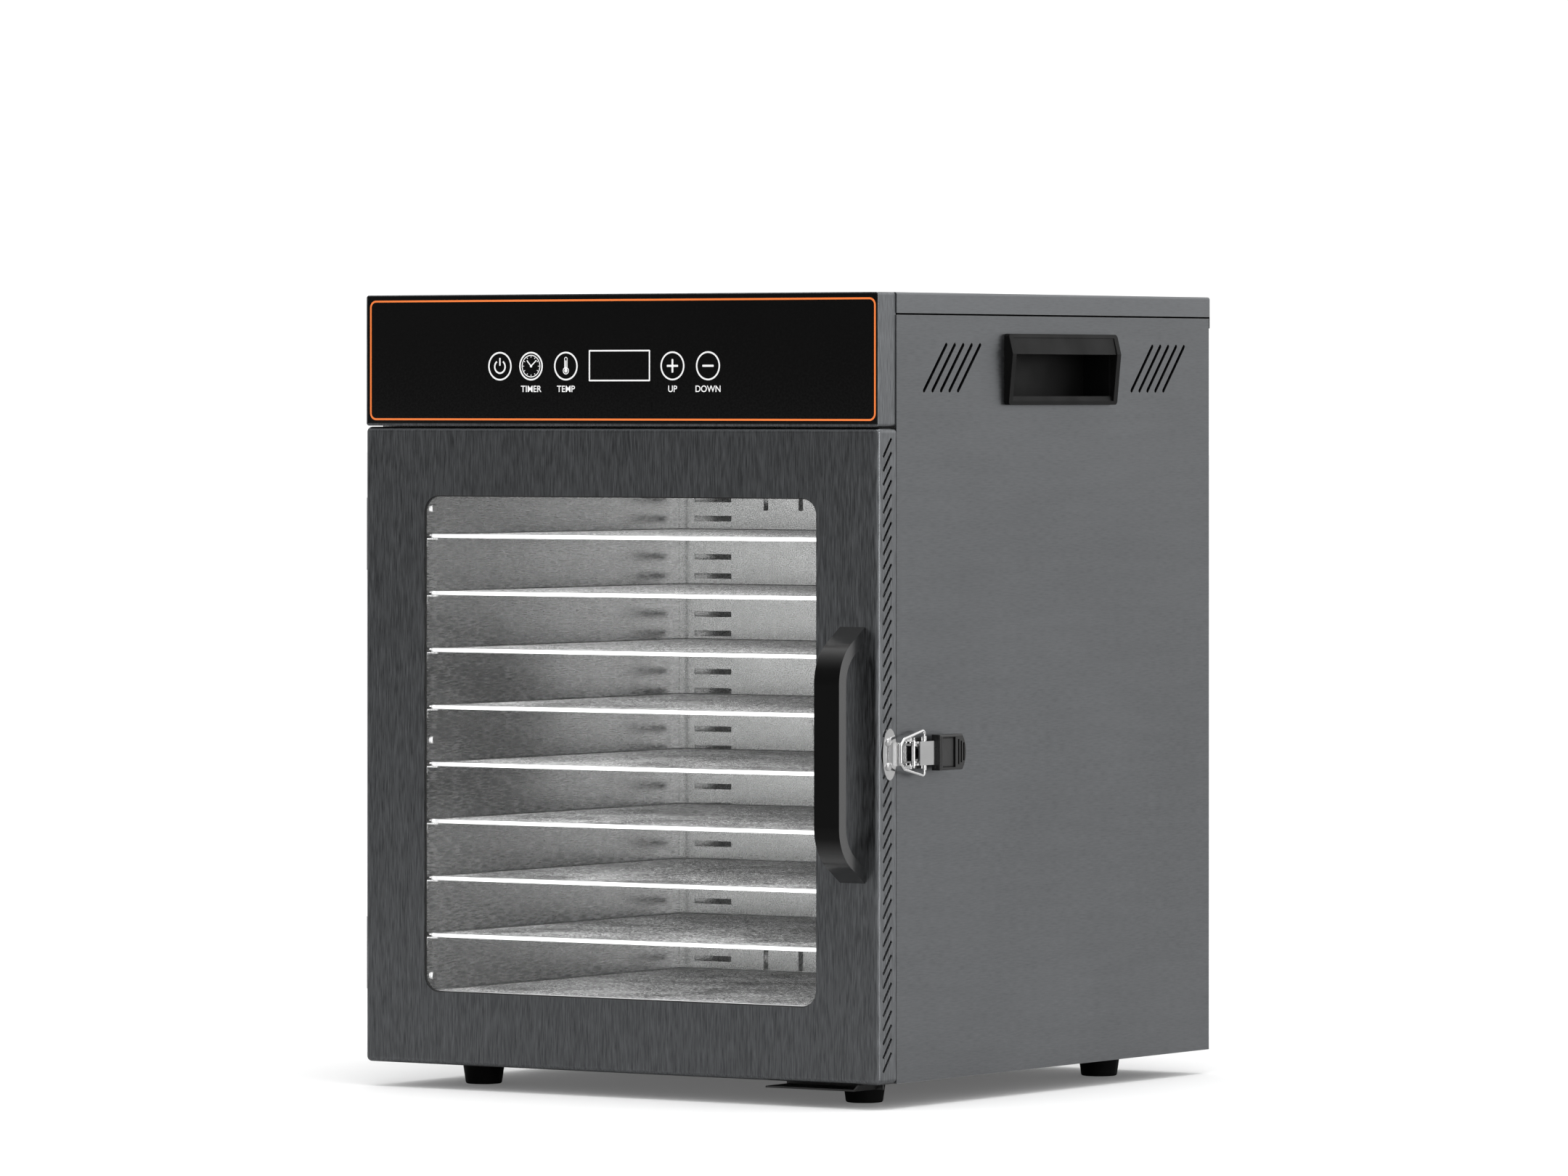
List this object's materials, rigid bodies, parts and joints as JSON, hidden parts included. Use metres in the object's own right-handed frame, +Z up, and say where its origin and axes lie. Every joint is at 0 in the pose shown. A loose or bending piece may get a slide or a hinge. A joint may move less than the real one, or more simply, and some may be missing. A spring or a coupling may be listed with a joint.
{
  "type": "food dehydrator",
  "caption": "Box-shaped stainless food dehydrator with sliding mesh trays, a glazed side-hung door with a draw latch, a rear fan and heater, and a touch panel.",
  "frame": {"origin": "middle of the bounding box at floor level", "axes": "+Z up, -Y out of the front door, +X to the right seen from the front"},
  "size_m": [0.444, 0.4596, 0.547],
  "materials": {
    "door_steel": "dark tinted stainless sheet, vertical brushing",
    "side_steel": "dark tinted stainless sheet, horizontal brushing",
    "cover_steel": "dark tinted stainless sheet, brushed",
    "fascia_steel": "dark tinted stainless sheet, vertical brushing",
    "chamber_steel": "bright stainless sheet",
    "tray_steel": "bright stainless wire and mesh",
    "screw_steel": "zinc-plated steel",
    "hinge_steel": "stainless",
    "heater_steel": "oxidised stainless tube",
    "motor_steel": "dark enamel",
    "black_metal": "black powder coat",
    "latch_chrome": "bright nickel plate",
    "fan_aluminium": "pressed aluminium",
    "panel_glass": "black back-printed glass",
    "door_glass": "clear toughened glass",
    "display": "dark display",
    "circuit_board": "green solder mask",
    "black_plastic": "fine-textured black moulding",
    "grip_plastic": "dark grey moulding",
    "wire_cover": "black sleeving",
    "foot_rubber": "black rubber",
    "seal_rubber": "black rubber"
  },
  "bodies": {
    "cabinet": {"side_panel_left": "side_steel", "side_panel_right": "side_steel", "base_pan": "side_steel", "rear_panel": "side_steel", "top_cover": "cover_steel", "front_frame": "chamber_steel", "fascia_frame": "fascia_steel", "control_glass": "panel_glass", "display_module": "display", "touch_board": "circuit_board", "power_board": "circuit_board", "liner_left": "chamber_steel", "liner_right": "chamber_steel", "liner_floor": "chamber_steel", "liner_top": "chamber_steel", "liner_rear": "chamber_steel", "rear_baffle": "chamber_steel", "tray_rack_left": "chamber_steel", "tray_rack_right": "chamber_steel", "rack_screws": "screw_steel", "fan_motor": "motor_steel", "fan_guard": "tray_steel", "heater_element": "heater_steel", "heater_brackets": "screw_steel", "thermal_cutout": "motor_steel", "temperature_probe": "screw_steel", "power_inlet": "black_plastic", "wire_harness": "wire_cover", "carry_handle_left": "black_plastic", "carry_handle_right": "black_plastic", "feet": "foot_rubber", "cabinet_screws": "screw_steel", "door_rest_plate": "black_metal", "hinge_leaves_cabinet": "hinge_steel", "hinge_pins": "hinge_steel", "latch_base": "latch_chrome", "latch_pin": "latch_chrome"},
    "door": {"door_skin": "door_steel", "door_glass": "door_glass", "glass_seal": "seal_rubber", "glass_clips": "screw_steel", "door_handle": "black_plastic", "strike_plate": "latch_chrome", "door_screws": "screw_steel", "hinge_leaves_door": "hinge_steel"},
    "latch_lever": {"latch_lever": "latch_chrome", "latch_grip": "grip_plastic"},
    "latch_bail": {"latch_bail": "latch_chrome", "latch_springs": "latch_chrome"},
    "fan": {"fan_rotor": "fan_aluminium"},
    "tray_01": {"tray_01": "tray_steel"},
    "tray_02": {"tray_02": "tray_steel"},
    "tray_03": {"tray_03": "tray_steel"},
    "tray_04": {"tray_04": "tray_steel"},
    "tray_05": {"tray_05": "tray_steel"},
    "tray_06": {"tray_06": "tray_steel"},
    "tray_07": {"tray_07": "tray_steel"},
    "tray_08": {"tray_08": "tray_steel"},
    "tray_09": {"tray_09": "tray_steel"},
    "tray_10": {"tray_10": "tray_steel"}
  },
  "joints": [
    {"name": "door_hinge", "type": "hinge", "parent": "cabinet", "child": "door", "pos_m": [-0.2185, -0.17675, 0.092], "axis": [0, 0, -1], "range_deg": [0, 170]},
    {"name": "latch_lever_pivot", "type": "hinge", "parent": "cabinet", "child": "latch_lever", "pos_m": [0.2145, -0.16325, 0.2378], "axis": [0, 0, -1], "range_deg": [0, 100]},
    {"name": "latch_bail_pivot", "type": "hinge", "parent": "latch_lever", "child": "latch_bail", "pos_m": [0.2155, -0.15175, 0.2378], "axis": [0, 0, -1], "range_deg": [-100, 0]},
    {"name": "fan_spin", "type": "hinge", "parent": "cabinet", "child": "fan", "pos_m": [-0.0025, 0.17775, 0.244], "axis": [0, 1, 0], "continuous": true},
    {"name": "tray_slide_01", "type": "slide", "parent": "cabinet", "child": "tray_01", "axis": [0, -1, 0], "range_m": [0, 0.022]},
    {"name": "tray_slide_02", "type": "slide", "parent": "cabinet", "child": "tray_02", "axis": [0, -1, 0], "range_m": [0, 0.022]},
    {"name": "tray_slide_03", "type": "slide", "parent": "cabinet", "child": "tray_03", "axis": [0, -1, 0], "range_m": [0, 0.022]},
    {"name": "tray_slide_04", "type": "slide", "parent": "cabinet", "child": "tray_04", "axis": [0, -1, 0], "range_m": [0, 0.022]},
    {"name": "tray_slide_05", "type": "slide", "parent": "cabinet", "child": "tray_05", "axis": [0, -1, 0], "range_m": [0, 0.022]},
    {"name": "tray_slide_06", "type": "slide", "parent": "cabinet", "child": "tray_06", "axis": [0, -1, 0], "range_m": [0, 0.022]},
    {"name": "tray_slide_07", "type": "slide", "parent": "cabinet", "child": "tray_07", "axis": [0, -1, 0], "range_m": [0, 0.022]},
    {"name": "tray_slide_08", "type": "slide", "parent": "cabinet", "child": "tray_08", "axis": [0, -1, 0], "range_m": [0, 0.022]},
    {"name": "tray_slide_09", "type": "slide", "parent": "cabinet", "child": "tray_09", "axis": [0, -1, 0], "range_m": [0, 0.022]},
    {"name": "tray_slide_10", "type": "slide", "parent": "cabinet", "child": "tray_10", "axis": [0, -1, 0], "range_m": [0, 0.022]}
  ],
  "couplings": [
    {"joint": "latch_bail_pivot", "follows": "latch_lever_pivot", "ratio": -1}
  ]
}
